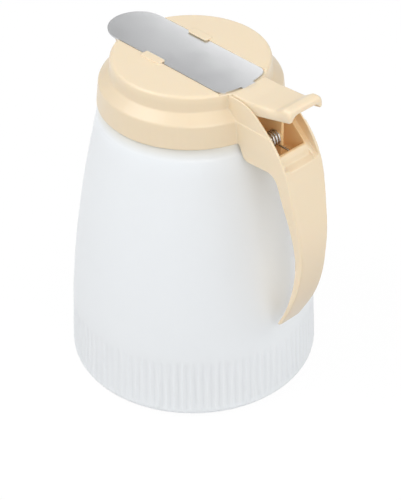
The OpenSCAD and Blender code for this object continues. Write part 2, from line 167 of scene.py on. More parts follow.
def resample(line: Floats, longest: float) -> Floats:
    """Adds points to a line so that no segment is longer than a length.

    Args:
        line: Points of the line, one row each.
        longest: Longest segment that may stay.

    Returns:
        The line with its own points and the added ones.
    """
    lengths = np.linalg.norm(np.diff(line, axis=0), axis=1)
    counts = np.maximum(1, np.ceil(lengths / longest).astype(int))
    segment = np.repeat(np.arange(len(counts)), counts)
    first = np.repeat(np.cumsum(counts) - counts, counts)
    share = (np.arange(counts.sum()) - first) / counts[segment]
    inner = line[segment] + share[:, None] * (line[segment + 1] - line[segment])
    return np.concatenate([inner, line[-1:]])


def revolve(profile: Floats, columns: int) -> Floats:
    """Turns a profile about the Z axis: (r cos a, r sin a, z) for a full turn of a.

    Args:
        profile: Radius and height, one row each.
        columns: Points round the turn.

    Returns:
        Points of shape (rows, columns, 3).
    """
    turn = full_turn(columns)[None]
    radius, height = profile[:, :1], profile[:, 1:2]
    return np.stack([radius * np.cos(turn), radius * np.sin(turn), height + 0.0 * turn], axis=-1)


def tube(path: Floats, radius: Floats, sides: int) -> Floats:
    """Carries a circle along a path: centre + radius (u cos a + v sin a), u and v square to it.

    The path's direction is the central difference of its points, and u is square to it and Y.

    Args:
        path: Points of the centre line.
        radius: Radius at each point.
        sides: Points round the circle.

    Returns:
        Points of shape (path points, sides, 3).
    """
    ahead = unit(np.gradient(path, axis=0))
    across = unit(np.cross(ahead, [0.0, 1.0, 0.0]))
    other = np.cross(across, ahead)
    turn = full_turn(sides)[None, :, None]
    ring = np.cos(turn) * across[:, None] + np.sin(turn) * other[:, None]
    return path[:, None] + radius[:, None, None] * ring


def grid_quads(rows: int, columns: int, wrap_rows: bool = False, wrap_columns: bool = True) -> Ints:
    """Quads of a grid whose points are numbered row by row.

    Args:
        rows: Number of rows of points.
        columns: Number of points in a row.
        wrap_rows: Whether the last row joins the first.
        wrap_columns: Whether each row's last point joins its first.

    Returns:
        Four point numbers for each quad.
    """
    row = np.arange(rows if wrap_rows else rows - 1)[:, None]
    column = np.arange(columns if wrap_columns else columns - 1)[None]
    near, far = row * columns, (row + 1) % rows * columns
    beside = (column + 1) % columns
    corners = np.broadcast_arrays(near + column, near + beside, far + beside, far + column)
    return np.stack(corners, axis=-1).reshape(-1, 4)


# Meshes


def link_object(name: str, data: bpy.types.ID) -> Piece:
    """New object of the scene.

    Args:
        name: Its name.
        data: Its mesh, lamp or camera.

    Returns:
        The object, at the origin.
    """
    made = bpy.data.objects.new(name, data)
    bpy.context.scene.collection.objects.link(made)
    return made


class Shell:
    """Closed surfaces that together make one piece."""

    def __init__(self) -> None:
        """Starts with no surface."""
        self.points: list[Floats] = []
        self.faces: list[list[int]] = []
        self.count = 0

    def add(self, points: Floats, quads: Ints, caps: Ints | Sequence[int] = ()) -> Shell:
        """Adds one surface.

        Args:
            points: Its points in millimetres, in any array shape that ends in 3.
            quads: Its quads, numbered from this surface's first point.
            caps: Faces of more corners, numbered the same way.

        Returns:
            This shell.
        """
        for faces in (quads, caps):
            self.faces += (np.asarray(faces, dtype=int) + self.count).tolist()
        self.points.append(points.reshape(-1, 3))
        self.count += len(self.points[-1])
        return self

    def loft(self, points: Floats, capped: bool = True, ring: bool = False) -> Shell:
        """Adds a surface that is closed round.

        Args:
            points: Its points, of shape (along, round, 3).
            capped: Whether each end gets a face.
            ring: Whether the last row joins the first.

        Returns:
            This shell.
        """
        along, around = points.shape[:2]
        ends = np.arange(around) + np.array([[0], [(along - 1) * around]])
        return self.add(points, grid_quads(along, around, ring), ends if capped else ())

    def piece(self, name: str, weld: float = 1e-6, sharp_deg: float = 40.0) -> Piece:
        """Makes the mesh object, with its poles merged and its faces turned outwards.

        Args:
            name: Name of the piece.
            weld: Distance in metres under which points are merged.
            sharp_deg: Angle above which an edge is shaded sharp.

        Returns:
            The object, at the origin.
        """
        mesh = bpy.data.meshes.new(name)
        mesh.from_pydata((np.concatenate(self.points) * MM).tolist(), [], self.faces)
        work = bmesh.new()
        work.from_mesh(mesh)
        bmesh.ops.remove_doubles(work, verts=work.verts, dist=weld)
        bmesh.ops.recalc_face_normals(work, faces=work.faces)
        work.to_mesh(mesh)
        work.free()
        mesh.validate()
        mesh.shade_smooth()
        mesh.set_sharp_from_angle(angle=math.radians(sharp_deg))
        return link_object(name, mesh)


def apply_modifiers(piece: Piece) -> int:
    """Writes the modifiers into the mesh.

    Args:
        piece: The piece to finish.

    Returns:
        The number of triangles it then has.
    """
    graph = bpy.context.evaluated_depsgraph_get()
    mesh = bpy.data.meshes.new_from_object(piece.evaluated_get(graph))
    piece.modifiers.clear()
    old, piece.data = piece.data, mesh
    bpy.data.meshes.remove(old)
    mesh.name = piece.name
    mesh.calc_loop_triangles()
    return len(mesh.loop_triangles)


def read_points(mesh: Mesh) -> Floats:
    """Reads a mesh.

    Args:
        mesh: The mesh.

    Returns:
        Its points in millimetres, one row each.
    """
    flat = np.empty(len(mesh.vertices) * 3)
    mesh.vertices.foreach_get("co", flat)
    return flat.reshape(-1, 3) / MM


def write_mask(mesh: Mesh, name: str, values: Floats) -> None:
    """Writes one value for each point of a mesh, for a finish to read."""
    mask = mesh.attributes.new(name, "FLOAT", "POINT")
    mask.data.foreach_set("value", values.astype(np.float32))


# Nodes


def set_inputs(node: Node, values: dict[str | int, object]) -> None:
    """Sets inputs of a node by name or number."""
    for name, value in values.items():
        node.inputs[name].default_value = value


def add_node(
    tree: Tree, kind: str, inputs: dict[str | int, object] | None = None, **options: object
) -> Node:
    """Adds a node. Its options come first, because some of them swap its inputs.

    Args:
        tree: Where it goes.
        kind: Its type, without the prefix that all shader nodes have.
        inputs: Values of its inputs.
        options: Its other settings.

    Returns:
        The node.
    """
    node = tree.nodes.new("ShaderNode" + kind)
    for name, value in options.items():
        setattr(node, name, value)
    set_inputs(node, inputs or {})
    return node


def socket_kind(value: float | tuple[float, ...]) -> str:
    """Type of socket for a value: a number, a vector of 3 or a colour of 4."""
    size = len(value) if isinstance(value, tuple) else 1
    return {1: "NodeSocketFloat", 3: "NodeSocketVector", 4: "NodeSocketColor"}[size]


@dataclass(frozen=True)
class Recipe:
    """Recipe of a node group.

    Inputs and results are named with a value of their kind. A node has its type, its inputs and
    its options. A link reads from.socket > to.socket, in and out being the group's own ends.
    """

    inputs: dict[str, object]
    results: dict[str, object]
    nodes: dict[str, tuple[str, dict[str | int, object], dict[str, str]]]
    links: tuple[str, ...]


class Effect(Enum):
    """Effects that more than one finish uses."""

    # Colour that drifts slowly between two near tones of one pigment
    PIGMENT_TONE = Recipe(
        {"Vector": ORIGIN, "Scale": 30.0, "Deep": WHITE, "Light": WHITE},
        {"Color": WHITE},
        {"noise": ("TexNoise", {"Detail": 3.0}, {}), "mix": ("Mix", {}, {"data_type": "RGBA"})},
        (
            "in.Vector > noise.Vector", "in.Scale > noise.Scale", "noise.Fac > mix.Factor",
            "in.Deep > mix.A", "in.Light > mix.B", "mix.Result > out.Color",
        ),
    )
    # Painted shade: the colour multiplied by a darker tint where a mask says so
    PAINTED_SHADE = Recipe(
        {"Color": WHITE, "Mask": 0.0, "Tint": WHITE},
        {"Color": WHITE},
        {"mix": ("Mix", {}, {"data_type": "RGBA", "blend_type": "MULTIPLY"})},
        ("in.Mask > mix.Factor", "in.Color > mix.A", "in.Tint > mix.B", "mix.Result > out.Color"),
    )
    # Painted glow: an emission colour where a mask says so, standing in for light that thin plastic walls
    # let into a hollow
    PAINTED_GLOW = Recipe(
        {"Mask": 0.0, "Light": BLACK},
        {"Color": BLACK},
        {"mix": ("Mix", {"A": BLACK}, {"data_type": "RGBA"})},
        ("in.Mask > mix.Factor", "in.Light > mix.B", "mix.Result > out.Color"),
    )
    # Roughness with faint duller patches where the surface has been handled and wiped
    HANDLING_MARKS = Recipe(
        {"Vector": ORIGIN, "Scale": 40.0, "Low": 0.3, "High": 0.4},
        {"Roughness": 0.5},
        {
            "noise": ("TexNoise", {"Detail": 5.0, "Roughness": 0.6}, {}),
            "spread": ("MapRange", {"From Min": 0.32, "From Max": 0.68}, {}),
        },
        (
            "in.Vector > noise.Vector", "in.Scale > noise.Scale", "noise.Fac > spread.Value",
            "in.Low > spread.To Min", "in.High > spread.To Max", "spread.Result > out.Roughness",
        ),
    )
    # Height of a moulded skin: a slow waviness with a fine grain on it
    MOULD_SKIN = Recipe(
        {"Vector": ORIGIN, "Wave scale": 60.0, "Grain scale": 2500.0, "Grain share": 0.15},
        {"Height": 0.0},
        {
            "wave": ("TexNoise", {"Detail": 1.0}, {}),
            "grain": ("TexNoise", {"Detail": 2.0}, {}),
            "mix": ("Mix", {}, {}),
        },
        (
            "in.Vector > wave.Vector", "in.Vector > grain.Vector", "in.Wave scale > wave.Scale",
            "in.Grain scale > grain.Scale", "in.Grain share > mix.Factor", "wave.Fac > mix.A",
            "grain.Fac > mix.B", "mix.Result > out.Height",
        ),
    )
    # Height of fine lines that run along one axis, as rolling or drawing leaves on metal
    DRAWN_LINES = Recipe(
        {"Vector": ORIGIN, "Stretch": (1.0, 40.0, 40.0), "Scale": 100.0},
        {"Height": 0.0},
        {
            "stretch": ("VectorMath", {}, {"operation": "MULTIPLY"}),
            "noise": ("TexNoise", {"Detail": 4.0, "Roughness": 0.7}, {}),
        },
        (
            "in.Vector > stretch.0", "in.Stretch > stretch.1", "stretch.Vector > noise.Vector",
            "in.Scale > noise.Scale", "noise.Fac > out.Height",
        ),
    )


class NodeGroups:
    """The effects as shader node groups, each built once."""

    def __init__(self) -> None:
        """Starts with no group."""
        self.made: dict[Effect, Tree] = {}

    def group(self, effect: Effect) -> Tree:
        """Gives the group of an effect.

        Args:
            effect: The effect.

        Returns:
            Its group, which is built at the first call.
        """
        if effect not in self.made:
            self.made[effect] = self._build(effect.name.lower(), effect.value)
        return self.made[effect]

    @staticmethod
    def _build(name: str, recipe: Recipe) -> Tree:
        """Builds a group.

        Args:
            name: Its name.
            recipe: What it is made of.

        Returns:
            The group.
        """
        tree = bpy.data.node_groups.new(name, "ShaderNodeTree")
        for side, sockets in (("INPUT", recipe.inputs), ("OUTPUT", recipe.results)):
            for label, value in sockets.items():
                socket = tree.interface.new_socket(
                    name=label, in_out=side, socket_type=socket_kind(value)
                )
                socket.default_value = value
        nodes = {"in": tree.nodes.new("NodeGroupInput"), "out": tree.nodes.new("NodeGroupOutput")}
        for label, (kind, inputs, options) in recipe.nodes.items():
            nodes[label] = add_node(tree, kind, inputs, **options)
        for link in recipe.links:
            (giver, result), (taker, entry) = (end.split(".") for end in link.split(" > "))
            place = int(entry) if entry.isdigit() else entry
            tree.links.new(nodes[giver].outputs[result], nodes[taker].inputs[place])
        return tree


class Bench:
    """A material in the making: its shader, the bump behind its normal and the place on the piece."""

    def __init__(self, name: str, groups: NodeGroups) -> None:
        """Starts the material.

        Args:
            name: Its name.
            groups: The shared node groups.
        """
        self.groups = groups
        self.made = bpy.data.materials.new(name)
        self.made.use_nodes = True
        self.tree = self.made.node_tree
        self.shader = self.tree.nodes["Principled BSDF"]
        self.bump = add_node(self.tree, "Bump")
        self.place = add_node(self.tree, "TexCoord").outputs["Object"]
        self.tree.links.new(self.bump.outputs["Normal"], self.shader.inputs["Normal"])

    def put(self, effect: Effect, feeds: Socket, values: dict[str, object]) -> None:
        """Places an effect.

        Args:
            effect: The effect.
            feeds: The socket that its result goes to.
            values: A value, or a socket that gives one, for each input but the place.
        """
        node = add_node(self.tree, "Group", node_tree=self.groups.group(effect))
        if "Vector" in node.inputs:
            values = {"Vector": self.place, **values}
        for name, value in values.items():
            if isinstance(value, Socket):
                self.tree.links.new(value, node.inputs[name])
            else:
                node.inputs[name].default_value = value
        self.tree.links.new(node.outputs[0], feeds)


# Finishes


@dataclass(frozen=True)
class Finish:
    """What every finish shares: a name, two near tones and a range of roughness."""

    name: str
    deep: Colour
    light: Colour
    smooth: float
    rough: float
    tone_scale: float = 25.0
    mark_scale: float = 45.0

    def material(self, groups: NodeGroups) -> bpy.types.Material:
        """Makes the material.

        Args:
            groups: The shared node groups.

        Returns:
            The material, ready to be put on a piece.
        """
        bench = Bench(self.name, groups)
        tones = {"Scale": self.tone_scale, "Deep": (*self.deep, 1.0), "Light": (*self.light, 1.0)}
        bench.put(Effect.PIGMENT_TONE, bench.shader.inputs["Base Color"], tones)
        marks = {"Scale": self.mark_scale, "Low": self.smooth, "High": self.rough}
        bench.put(Effect.HANDLING_MARKS, bench.shader.inputs["Roughness"], marks)
        self.surface(bench)
        return bench.made

    def surface(self, bench: Bench) -> None:
        """Sets what is special to one kind of surface."""
        raise NotImplementedError


@dataclass(frozen=True)
class PaintedShade:
    """Painted shade, a darker tint multiplied into the plastic's colour, and painted glow, an emission
    colour standing in for light let through the plastic, where a named mask says so.
    """

    mask: str
    tint: Colour
    light: Colour | None = None


@dataclass(frozen=True)
class MouldedPlastic(Finish):
    """Moulded plastic, lit a little from within, with a faint skin and, where masks say so, painted shade
    and painted glow.
    """

    glow: float = 0.0
    glow_reach: Colour = (1.0, 0.6, 0.3)
    glow_depth: float = 0.002
    wave: float = 60.0
    grain: float = 2600.0
    relief: float = 0.00004
    coat: float = 0.0
    painted_shades: tuple[PaintedShade, ...] = ()

    def surface(self, bench: Bench) -> None:
        """Adds the light inside the plastic, the relief of the mould's skin, and the painted shades and
        painted glow.

        Args:
            bench: The material in the making.
        """
        inputs = {
            "Subsurface Weight": self.glow, "Subsurface Radius": self.glow_reach,
            "Subsurface Scale": self.glow_depth, "IOR": 1.5,
            "Coat Weight": self.coat, "Coat Roughness": 0.2,
        }
        set_inputs(bench.shader, inputs)
        set_inputs(bench.bump, {"Strength": 0.5, "Distance": self.relief})
        skin = {"Wave scale": self.wave, "Grain scale": self.grain}
        bench.put(Effect.MOULD_SKIN, bench.bump.inputs["Height"], skin)
        colour = bench.shader.inputs["Base Color"]
        # Each mask multiplies a painted shade into the base colour; one also adds painted glow as
        # emission
        for shade in self.painted_shades:
            mask = add_node(bench.tree, "Attribute", attribute_name=shade.mask).outputs["Fac"]
            plain = colour.links[0].from_socket
            tint = {"Color": plain, "Mask": mask, "Tint": (*shade.tint, 1.0)}
            bench.put(Effect.PAINTED_SHADE, colour, tint)
            if shade.light is not None:
                light = {"Mask": mask, "Light": (*shade.light, 1.0)}
                bench.put(Effect.PAINTED_GLOW, bench.shader.inputs["Emission Color"], light)
                set_inputs(bench.shader, {"Emission Strength": 1.0})


@dataclass(frozen=True)
class Steel(Finish):
    """Stainless steel with the fine lines of rolling or drawing."""

    stretch: tuple[float, float, float] = (1.0, 40.0, 40.0)
    line_scale: float = 120.0
    relief: float = 0.000006

    def surface(self, bench: Bench) -> None:
        """Makes it metal and adds the relief of its lines.

        Args:
            bench: The material in the making.
        """
        set_inputs(bench.shader, {"Metallic": 1.0})
        set_inputs(bench.bump, {"Strength": 0.6, "Distance": self.relief})
        lines = {"Stretch": self.stretch, "Scale": self.line_scale}
        bench.put(Effect.DRAWN_LINES, bench.bump.inputs["Height"], lines)


@dataclass(frozen=True)
class Finishes:
    """Every finish of the dispenser."""

    jar: MouldedPlastic = MouldedPlastic(
        "milk_white_polyethylene",
        deep=(0.855, 0.89, 0.925),
        light=(0.88, 0.91, 0.94),
        smooth=0.36,
        rough=0.44,
        tone_scale=9.0,
        glow=0.45,
        glow_reach=(1.0, 1.0, 1.0),
        glow_depth=0.004,
        wave=22.0,
        relief=0.00005,
        # Painted warm shade on the jar under the collar
        painted_shades=(PaintedShade("collar_shade", (0.92, 0.87, 0.78)),),
    )
    cream: MouldedPlastic = MouldedPlastic(
        "cream_moulded_plastic",
        deep=(0.845, 0.70, 0.495),
        light=(0.875, 0.735, 0.535),
        smooth=0.34,
        rough=0.44,
        glow=0.15,
        glow_reach=(1.0, 0.7, 0.4),
        glow_depth=0.0015,
        coat=0.25,
        # Painted shade and painted glow in the spring's pocket; painted shade on the collar, the deck's
        # side and the grip's lower back
        painted_shades=(
            PaintedShade("pocket_shade_and_glow", (0.95, 0.80, 0.58), (0.045, 0.022, 0.007)),
            PaintedShade("below_deck_shade", (0.935, 0.93, 0.925)),
            PaintedShade("grip_end_shade", (0.80, 0.78, 0.77)),
        ),
    )
    seal: MouldedPlastic = MouldedPlastic(
        "soft_sealing_ring",
        deep=(0.68, 0.66, 0.60),
        light=(0.74, 0.72, 0.66),
        smooth=0.6,
        rough=0.75,
        grain=1800.0,
    )
    blade: Steel = Steel(
        "rolled_blade_steel",
        deep=(0.60, 0.605, 0.615),
        light=(0.65, 0.655, 0.665),
        smooth=0.20,
        rough=0.265,
        tone_scale=14.0,
        relief=0.000002,
    )
    wire: Steel = Steel(
        "drawn_spring_wire",
        deep=(0.50, 0.49, 0.48),
        light=(0.60, 0.59, 0.58),
        smooth=0.20,
        rough=0.265,
        stretch=(20.0, 20.0, 20.0),
        line_scale=60.0,
    )


# Sub-assemblies


@dataclass
class Workshop:
    """Dresses finished pieces and reports them."""

    finishes: Finishes
    groups: NodeGroups

    def __post_init__(self) -> None:
        """Starts with no material."""
        self.materials: dict[str, bpy.types.Material] = {}

    def dress(
        self, piece: Piece, finish: Finish, slot: Slot, body: Body | None, replaces: str | None = None
    ) -> Piece:
        """Gives a piece its finish, its body and the CAD node that it stands for.

        Args:
            piece: The finished piece.
            finish: Its finish, whose material is made once.
            slot: The record's material slot; not used.
            body: The body it rides on, or None.
            replaces: The CAD node it stands for, if any.

        Returns:
            The same piece.
        """
        if finish.name not in self.materials:
            self.materials[finish.name] = finish.material(self.groups)
        piece.data.materials.clear()
        piece.data.materials.append(self.materials[finish.name])
        if body is not None:
            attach(piece, body.value)
        if replaces is not None:
            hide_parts(replaces)
        LOG.info("%s: %d faces, finish %s", piece.name, len(piece.data.polygons), finish.name)
        return piece


@dataclass
class Part:
    """What every sub-assembly has: the workshop that dresses its pieces."""

    shop: Workshop


@dataclass
class Jar(Part):
    """The white jar: an arched side with a fluted band, a hollow foot and a threaded neck."""

    widest_r: float = 63.45
    side_r: float = 640.0
    widest_drop: float = 10.0
    foot_r: float = 63.2
    edge_r: float = 5.5
    band_top_z: float = 38.0
    wall: float = 2.0
    floor_z: float = 3.7
    hollow: float = 1.5
    hollow_r: float = 51.2
    hollow_flat_r: float = 46.0
    cell: float = 2.2
    shoulder_z: float = 147.65
    shoulder_r: float = 43.85
    shoulder_edge: float = 1.2
    neck_r: float = 39.29
    mouth_r: float = 36.29
    rim_z: float = 158.5
    inside_z: Span = (11.0, 132.0)
    flutes: int = 96
    flute_depth: float = 0.62
    flute_taper: float = 0.2
    flute_z: Span = (3.4, 34.5)
    flute_fade: Span = (2.6, 3.0)
    bead_z: float = 141.6
    bead_h: float = 0.3
    bead_w: Span = (5.0, 0.9)
    bead_reach: float = 4.0
    shaded_z: Span = (140.5, 147.5)
    columns: int = 768
    side_rows: int = 12
    bead_rows: int = 18
    inner_rows: int = 10

    def side(self, height: Floats, wall: float = 0.0) -> Floats:
        """Radius of the arched side: widest_r - side_r + sqrt((side_r - wall)^2 - (z + drop)^2).

        Args:
            height: Heights above the table.
            wall: How far inside the outer face.

        Returns:
            The radius at each height.
        """
        arc = np.sqrt((self.side_r - wall) ** 2 - (height + self.widest_drop) ** 2)
        return self.widest_r - self.side_r + arc

    def bead(self, height: Floats) -> Floats:
        """Height of the ring under the collar: h exp(-(d / w)^2), with a small w above it.

        Args:
            height: Heights above the table.

        Returns:
            How far the ring stands out at each height.
        """
        away = height - self.bead_z
        width = np.where(away < 0, *self.bead_w)
        return self.bead_h * np.exp(-((away / width) ** 2))

    def profile(self) -> Floats:
        """Outline from the middle of the base, up the outside and down the inside to the floor.

        Returns:
            Radius and height, one row each.
        """
        slow, fine = self.bead_z - self.bead_reach, self.shoulder_z - self.shoulder_edge
        rows = np.linspace(slow, fine, self.bead_rows)
        outer_z = np.concatenate([np.linspace(self.band_top_z, slow, self.side_rows), rows[1:]])
        outer = np.stack([self.side(outer_z) + self.bead(outer_z), outer_z], axis=1)
        foot = [
            (0.0, self.hollow, 0),
            (self.hollow_r - self.hollow, self.hollow, 1.2),
            (self.hollow_r, 0.0, 0.6),
            (self.foot_r, 0.0, self.edge_r),
            (self.foot_r, self.edge_r + 0.5, 0),
            (float(self.side(np.array(self.band_top_z))), self.band_top_z, 0),
        ]
        low, high = self.inside_z
        top = [
            (*outer[-1], 0),
            (self.shoulder_r - 0.1, self.shoulder_z, 0.9),
            (self.neck_r, self.shoulder_z, 0.8),
            (self.neck_r, self.rim_z, 0.5),
            (self.mouth_r, self.rim_z, 0.5),
            (self.mouth_r, self.shoulder_z + 1.0, 1.0),
            (self.mouth_r + 3.4, self.shoulder_z - 2.4, 2.0),
            (float(self.side(np.array(high), self.wall)), high, 0),
        ]
        inner_z = np.linspace(high - 1.0, low + 1.0, self.inner_rows)
        inner = np.stack([self.side(inner_z, self.wall), inner_z], axis=1)
        inner_foot = [
            (inner[-1, 0], low, 0),
            (self.foot_r - self.wall, self.floor_z, self.edge_r - self.wall),
            (0.0, self.floor_z, 0),
        ]
        base = resample(round_corners(foot, steps=8), self.cell)
        base = base[(base[:, 0] > self.hollow_flat_r) | (np.arange(len(base)) == 0)]
        rest = [round_corners(top, steps=4)[1:], inner, round_corners(inner_foot, steps=5)]
        return np.concatenate([base, outer[1:], *rest])

    def scallop(self, height: Floats) -> Floats:
        """Depth of the flutes, which fade in above the foot and out at the band's top.

        Args:
            height: Heights above the table.

        Returns:
            The depth at each height.
        """
        low, top = self.flute_z
        fade = smoothstep(height, low, low + self.flute_fade[0])
        fade *= 1.0 - smoothstep(height, top - self.flute_fade[1], top)
        return self.flute_depth * (1.0 - self.flute_taper * height / top) * fade

    def build(self) -> Piece:
        """Makes the jar: a revolved profile whose radius is lowered by depth (1 - cos(n a)) / 2.

        Returns:
            The piece.
        """
        profile = self.profile()
        points = revolve(profile, self.columns)
        turn = full_turn(self.columns)
        band = np.arange(len(profile)) < np.argmax(profile[:, 1] > self.band_top_z)
        band &= profile[:, 0] > self.foot_r - 4.0
        depth = np.where(band, self.scallop(profile[:, 1]), 0.0)[:, None]
        cut = depth * ((1.0 - np.cos(self.flutes * turn)) / 2.0)[None]
        points[..., 0] -= cut * np.cos(turn)
        points[..., 1] -= cut * np.sin(turn)
        piece = Shell().loft(points, capped=False).piece("jar_body", sharp_deg=60.0)
        # Painted shade: the jar is darkened warmly towards the collar's edge, where the collar's shadow
        # falls
        height = read_points(piece.data)[:, 2]
        write_mask(piece.data, "collar_shade", smoothstep(height, *self.shaded_z))
        return self.shop.dress(piece, self.shop.finishes.jar, Slot.JAR, Body.BASE, "jar")


@dataclass
class ScrewThread(Part):
    """Helical ribs of the neck and of the collar, which run past each other as the top unscrews."""

    pitch: float = 5.0
    neck_r: float = 39.1
    neck_crest_r: float = 41.1
    bore_r: float = 42.15
    bore_crest_r: float = 40.15
    low_z: float = 150.2
    start: float = 0.1
    late: float = 1.2
    turns: float = 1.15
    run_out: float = 0.12
    root_w: float = 2.2
    crest_w: float = 0.8
    columns: int = 220

    def rib(self, root: float, crest: float, low: float, start: float) -> Floats:
        """Carries a blunt wedge up a helix; both ends sink into the wall.

        Args:
            root: Radius of the wall that carries the rib.
            crest: Radius of the rib's crest.
            low: Height of the helix at its start.
            start: Angle of its start in turns.

        Returns:
            Points of shape (along, 6, 3).
        """
        share = np.linspace(0.0, 1.0, self.columns)
        turn = 2 * np.pi * (start + self.turns * share)[:, None]
        rise = low + self.pitch * self.turns * share
        ends = smoothstep(share, 0.0, self.run_out) * (1.0 - smoothstep(share, 1.0 - self.run_out, 1.0))
        tall = root + (crest - root) * (0.02 + 0.98 * ends)
        radius = np.stack([0 * share + root, 0.25 * root + 0.75 * tall, tall], axis=1)
        radius = np.concatenate([radius, radius[:, ::-1]], axis=1)
        half = np.array([self.root_w, 0.55 * self.root_w, self.crest_w]) / 2
        height = rise[:, None] + np.concatenate([-half, half[::-1]])[None]
        return np.stack([radius * np.cos(turn), radius * np.sin(turn), height], axis=-1)

    def build(self) -> list[Piece]:
        """Makes both ribs; the collar's lies half a pitch lower and starts a little later.

        Returns:
            The two pieces.
        """
        neck = self.rib(self.neck_r, self.neck_crest_r, self.low_z, self.start)
        low, start = self.low_z - self.pitch / 2 + self.late, self.start + self.late / self.pitch
        collar = self.rib(self.bore_r, self.bore_crest_r, low, start)
        finishes, made = self.shop.finishes, []
        for name, points, finish, slot, body in (
            ("neck_thread", neck, finishes.jar, Slot.JAR, Body.BASE),
            ("collar_thread", collar, finishes.cream, Slot.CREAM, Body.TOP),
        ):
            piece = Shell().loft(points).piece(name, sharp_deg=50.0)
            made.append(self.shop.dress(piece, finish, slot, body))
        return made


@dataclass
class SealRing(Part):
    """The flat ring between the jar's rim and the top's ceiling."""

    inner_r: float = 36.79
    outer_r: float = 39.79
    low_z: float = 158.5
    top_z: float = 160.0
    edge_r: float = 0.3
    columns: int = 192

    def build(self) -> Piece:
        """Makes the ring: a rounded rectangle turned about the axis.

        Returns:
            The piece.
        """
        (inner, low), (outer, top) = (self.inner_r, self.low_z), (self.outer_r, self.top_z)
        spots = [(inner, low), (outer, low), (outer, top), (inner, top)]
        profile = round_corners([(*spot, self.edge_r) for spot in spots], steps=4, closed=True)
        points = revolve(profile, self.columns)
        piece = Shell().loft(points, capped=False, ring=True).piece("sealing_ring")
        return self.shop.dress(piece, self.shop.finishes.seal, Slot.SEAL, Body.SEAL, "seal_ring")


